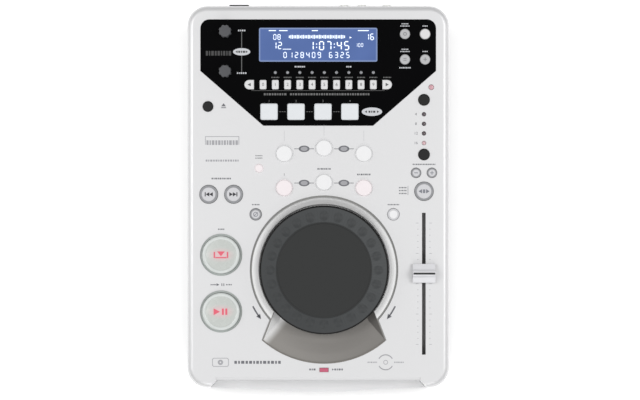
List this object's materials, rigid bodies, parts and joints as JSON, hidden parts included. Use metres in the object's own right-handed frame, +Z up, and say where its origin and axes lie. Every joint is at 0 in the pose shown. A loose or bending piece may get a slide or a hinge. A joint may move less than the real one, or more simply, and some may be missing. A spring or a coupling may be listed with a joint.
{
  "type": "tabletop dj cd player",
  "caption": "Wedge-shaped tabletop disc player for mixing, with a slot-in drive, a jog wheel, a tempo fader, a display window and push buttons.",
  "frame": {"origin": "centre of the bounding box on the table plane", "axes": "+Z up, front with the disc mouth at -Y, rear sockets at +Y, fader at +X"},
  "size_m": [0.216, 0.326, 0.0987],
  "materials": {
    "shell_silver": "satin silver-white paint",
    "pan_grey": "fine textured grey",
    "foot_rubber": "black rubber",
    "steel": "zinc plated",
    "window_black": "gloss black",
    "lcd_blue": "backlit blue display",
    "bezel_silver": "satin silver",
    "jog_black": "satin dark grey",
    "fascia_silver": "satin silver paint",
    "board_green": "circuit board",
    "inner_black": "black",
    "cap_silver": "satin silver",
    "roller_rubber": "black rubber",
    "socket_black": "black",
    "socket_brass": "gold plated",
    "knob_grey": "dark grey",
    "lens_clear": "clear greenish white",
    "button_white": "translucent white",
    "button_rim": "light grey face in a dark rim",
    "button_grey": "light grey",
    "button_black": "black"
  },
  "bodies": {
    "housing": {"upper_shell": "shell_silver", "base_pan": "pan_grey", "feet": "foot_rubber", "case_screws": "steel", "window_panel": "window_black", "lcd_module": "lcd_blue", "jog_bezel": "bezel_silver", "slot_fascia": "fascia_silver", "circuit_boards": "board_green", "fader_unit": "inner_black", "drive_chassis": "steel", "power_inlet": "socket_black", "rear_sockets": "socket_brass"},
    "jog_wheel": {"jog_wheel": "jog_black"},
    "fader_cap": {"fader_cap": "cap_silver"},
    "disc_spindle": {"disc_spindle": "steel"},
    "laser_sled": {"laser_sled": "inner_black"},
    "feed_roller": {"feed_roller": "roller_rubber"},
    "power_rocker": {"power_rocker": "socket_black"},
    "track_knob": {"track_knob": "knob_grey"},
    "menu_knob": {"menu_knob": "knob_grey"},
    "cue_button": {"cue_button": "lens_clear"},
    "play_button": {"play_button": "lens_clear"},
    "skip_back_button": {"skip_back_button": "button_rim"},
    "skip_forward_button": {"skip_forward_button": "button_rim"},
    "effect_button_1": {"effect_button_1": "button_white"},
    "effect_button_2": {"effect_button_2": "button_white"},
    "effect_button_3": {"effect_button_3": "button_white"},
    "effect_button_4": {"effect_button_4": "button_white"},
    "effect_button_5": {"effect_button_5": "button_white"},
    "effect_button_6": {"effect_button_6": "button_white"},
    "loop_button_1": {"loop_button_1": "button_white"},
    "loop_button_2": {"loop_button_2": "button_white"},
    "loop_button_3": {"loop_button_3": "button_white"},
    "loop_button_4": {"loop_button_4": "button_white"},
    "display_button_1": {"display_button_1": "button_grey"},
    "display_button_2": {"display_button_2": "button_grey"},
    "display_button_3": {"display_button_3": "button_grey"},
    "display_button_4": {"display_button_4": "button_grey"},
    "search_button": {"search_button": "button_rim"},
    "hold_button": {"hold_button": "button_rim"},
    "scratch_button": {"scratch_button": "button_white"},
    "bend_down_button": {"bend_down_button": "button_rim"},
    "bend_up_button": {"bend_up_button": "button_rim"},
    "range_button": {"range_button": "button_rim"},
    "eject_button": {"eject_button": "button_black"},
    "tempo_button": {"tempo_button": "button_black"},
    "time_button": {"time_button": "button_black"},
    "key_01": {"key_01": "button_white"},
    "key_02": {"key_02": "button_white"},
    "key_03": {"key_03": "button_white"},
    "key_04": {"key_04": "button_white"},
    "key_05": {"key_05": "button_white"},
    "key_06": {"key_06": "button_white"},
    "key_07": {"key_07": "button_white"},
    "key_08": {"key_08": "button_white"},
    "key_09": {"key_09": "button_white"},
    "key_10": {"key_10": "button_white"},
    "key_11": {"key_11": "button_white"},
    "key_12": {"key_12": "button_white"}
  },
  "joints": [
    {"name": "jog_turn", "type": "hinge", "parent": "housing", "child": "jog_wheel", "pos_m": [0.0048, -0.06237, 0.07045], "axis": [0, -0.0872, 0.9962], "continuous": true},
    {"name": "fader_slide", "type": "slide", "parent": "housing", "child": "fader_cap", "axis": [0, 0.9962, 0.0872], "range_m": [-0.0587, 0.0413]},
    {"name": "cue_button_press", "type": "slide", "parent": "housing", "child": "cue_button", "axis": [0, -0.0872, 0.9962], "range_m": [-0.001, 0], "stiffness_N_per_m": 1500},
    {"name": "play_button_press", "type": "slide", "parent": "housing", "child": "play_button", "axis": [0, -0.0872, 0.9962], "range_m": [-0.001, 0], "stiffness_N_per_m": 1500},
    {"name": "power_rock", "type": "hinge", "parent": "housing", "child": "power_rocker", "pos_m": [-0.0655, 0.155, 0.06847], "axis": [-1, 0, 0], "range_deg": [0, 14]},
    {"name": "sled_slide", "type": "slide", "parent": "housing", "child": "laser_sled", "axis": [0, 1, 0], "range_m": [0, 0.034]},
    {"name": "track_knob_turn", "type": "hinge", "parent": "housing", "child": "track_knob", "pos_m": [-0.0765, 0.13284, 0.08753], "axis": [0, -0.0872, 0.9962], "continuous": true},
    {"name": "menu_knob_turn", "type": "hinge", "parent": "housing", "child": "menu_knob", "pos_m": [-0.0765, 0.10026, 0.08468], "axis": [0, -0.0872, 0.9962], "continuous": true},
    {"name": "spindle_spin", "type": "hinge", "parent": "housing", "child": "disc_spindle", "pos_m": [0.004, -0.0817, 0.0352], "axis": [0, 0, 1], "continuous": true},
    {"name": "roller_turn", "type": "hinge", "parent": "housing", "child": "feed_roller", "pos_m": [0.004, -0.1417, 0.0313], "axis": [1, 0, 0], "continuous": true},
    {"name": "skip_back_button_press", "type": "slide", "parent": "housing", "child": "skip_back_button", "axis": [0, -0.0872, 0.9962], "range_m": [-0.001, 0], "stiffness_N_per_m": 800},
    {"name": "skip_forward_button_press", "type": "slide", "parent": "housing", "child": "skip_forward_button", "axis": [0, -0.0872, 0.9962], "range_m": [-0.001, 0], "stiffness_N_per_m": 800},
    {"name": "effect_button_1_press", "type": "slide", "parent": "housing", "child": "effect_button_1", "axis": [0, -0.0872, 0.9962], "range_m": [-0.001, 0], "stiffness_N_per_m": 800},
    {"name": "effect_button_2_press", "type": "slide", "parent": "housing", "child": "effect_button_2", "axis": [0, -0.0872, 0.9962], "range_m": [-0.001, 0], "stiffness_N_per_m": 800},
    {"name": "effect_button_3_press", "type": "slide", "parent": "housing", "child": "effect_button_3", "axis": [0, -0.0872, 0.9962], "range_m": [-0.001, 0], "stiffness_N_per_m": 800},
    {"name": "effect_button_4_press", "type": "slide", "parent": "housing", "child": "effect_button_4", "axis": [0, -0.0872, 0.9962], "range_m": [-0.001, 0], "stiffness_N_per_m": 800},
    {"name": "effect_button_5_press", "type": "slide", "parent": "housing", "child": "effect_button_5", "axis": [0, -0.0872, 0.9962], "range_m": [-0.001, 0], "stiffness_N_per_m": 800},
    {"name": "effect_button_6_press", "type": "slide", "parent": "housing", "child": "effect_button_6", "axis": [0, -0.0872, 0.9962], "range_m": [-0.001, 0], "stiffness_N_per_m": 800},
    {"name": "loop_button_1_press", "type": "slide", "parent": "housing", "child": "loop_button_1", "axis": [0, -0.0872, 0.9962], "range_m": [-0.001, 0], "stiffness_N_per_m": 800},
    {"name": "loop_button_2_press", "type": "slide", "parent": "housing", "child": "loop_button_2", "axis": [0, -0.0872, 0.9962], "range_m": [-0.001, 0], "stiffness_N_per_m": 800},
    {"name": "loop_button_3_press", "type": "slide", "parent": "housing", "child": "loop_button_3", "axis": [0, -0.0872, 0.9962], "range_m": [-0.001, 0], "stiffness_N_per_m": 800},
    {"name": "loop_button_4_press", "type": "slide", "parent": "housing", "child": "loop_button_4", "axis": [0, -0.0872, 0.9962], "range_m": [-0.001, 0], "stiffness_N_per_m": 800},
    {"name": "display_button_1_press", "type": "slide", "parent": "housing", "child": "display_button_1", "axis": [0, -0.0872, 0.9962], "range_m": [-0.001, 0], "stiffness_N_per_m": 800},
    {"name": "display_button_2_press", "type": "slide", "parent": "housing", "child": "display_button_2", "axis": [0, -0.0872, 0.9962], "range_m": [-0.001, 0], "stiffness_N_per_m": 800},
    {"name": "display_button_3_press", "type": "slide", "parent": "housing", "child": "display_button_3", "axis": [0, -0.0872, 0.9962], "range_m": [-0.001, 0], "stiffness_N_per_m": 800},
    {"name": "display_button_4_press", "type": "slide", "parent": "housing", "child": "display_button_4", "axis": [0, -0.0872, 0.9962], "range_m": [-0.001, 0], "stiffness_N_per_m": 800},
    {"name": "search_button_press", "type": "slide", "parent": "housing", "child": "search_button", "axis": [0, -0.0872, 0.9962], "range_m": [-0.001, 0], "stiffness_N_per_m": 800},
    {"name": "hold_button_press", "type": "slide", "parent": "housing", "child": "hold_button", "axis": [0, -0.0872, 0.9962], "range_m": [-0.001, 0], "stiffness_N_per_m": 800},
    {"name": "scratch_button_press", "type": "slide", "parent": "housing", "child": "scratch_button", "axis": [0, -0.0872, 0.9962], "range_m": [-0.001, 0], "stiffness_N_per_m": 800},
    {"name": "bend_down_button_press", "type": "slide", "parent": "housing", "child": "bend_down_button", "axis": [0, -0.0872, 0.9962], "range_m": [-0.001, 0], "stiffness_N_per_m": 800},
    {"name": "bend_up_button_press", "type": "slide", "parent": "housing", "child": "bend_up_button", "axis": [0, -0.0872, 0.9962], "range_m": [-0.001, 0], "stiffness_N_per_m": 800},
    {"name": "range_button_press", "type": "slide", "parent": "housing", "child": "range_button", "axis": [0, -0.0872, 0.9962], "range_m": [-0.001, 0], "stiffness_N_per_m": 800},
    {"name": "eject_button_press", "type": "slide", "parent": "housing", "child": "eject_button", "axis": [0, -0.0872, 0.9962], "range_m": [-0.001, 0], "stiffness_N_per_m": 800},
    {"name": "tempo_button_press", "type": "slide", "parent": "housing", "child": "tempo_button", "axis": [0, -0.0872, 0.9962], "range_m": [-0.001, 0], "stiffness_N_per_m": 800},
    {"name": "time_button_press", "type": "slide", "parent": "housing", "child": "time_button", "axis": [0, -0.0872, 0.9962], "range_m": [-0.001, 0], "stiffness_N_per_m": 800},
    {"name": "key_01_press", "type": "slide", "parent": "housing", "child": "key_01", "axis": [0, -0.0872, 0.9962], "range_m": [-0.001, 0], "stiffness_N_per_m": 800},
    {"name": "key_02_press", "type": "slide", "parent": "housing", "child": "key_02", "axis": [0, -0.0872, 0.9962], "range_m": [-0.001, 0], "stiffness_N_per_m": 800},
    {"name": "key_03_press", "type": "slide", "parent": "housing", "child": "key_03", "axis": [0, -0.0872, 0.9962], "range_m": [-0.001, 0], "stiffness_N_per_m": 800},
    {"name": "key_04_press", "type": "slide", "parent": "housing", "child": "key_04", "axis": [0, -0.0872, 0.9962], "range_m": [-0.001, 0], "stiffness_N_per_m": 800},
    {"name": "key_05_press", "type": "slide", "parent": "housing", "child": "key_05", "axis": [0, -0.0872, 0.9962], "range_m": [-0.001, 0], "stiffness_N_per_m": 800},
    {"name": "key_06_press", "type": "slide", "parent": "housing", "child": "key_06", "axis": [0, -0.0872, 0.9962], "range_m": [-0.001, 0], "stiffness_N_per_m": 800},
    {"name": "key_07_press", "type": "slide", "parent": "housing", "child": "key_07", "axis": [0, -0.0872, 0.9962], "range_m": [-0.001, 0], "stiffness_N_per_m": 800},
    {"name": "key_08_press", "type": "slide", "parent": "housing", "child": "key_08", "axis": [0, -0.0872, 0.9962], "range_m": [-0.001, 0], "stiffness_N_per_m": 800},
    {"name": "key_09_press", "type": "slide", "parent": "housing", "child": "key_09", "axis": [0, -0.0872, 0.9962], "range_m": [-0.001, 0], "stiffness_N_per_m": 800},
    {"name": "key_10_press", "type": "slide", "parent": "housing", "child": "key_10", "axis": [0, -0.0872, 0.9962], "range_m": [-0.001, 0], "stiffness_N_per_m": 800},
    {"name": "key_11_press", "type": "slide", "parent": "housing", "child": "key_11", "axis": [0, -0.0872, 0.9962], "range_m": [-0.001, 0], "stiffness_N_per_m": 800},
    {"name": "key_12_press", "type": "slide", "parent": "housing", "child": "key_12", "axis": [0, -0.0872, 0.9962], "range_m": [-0.001, 0], "stiffness_N_per_m": 800}
  ]
}
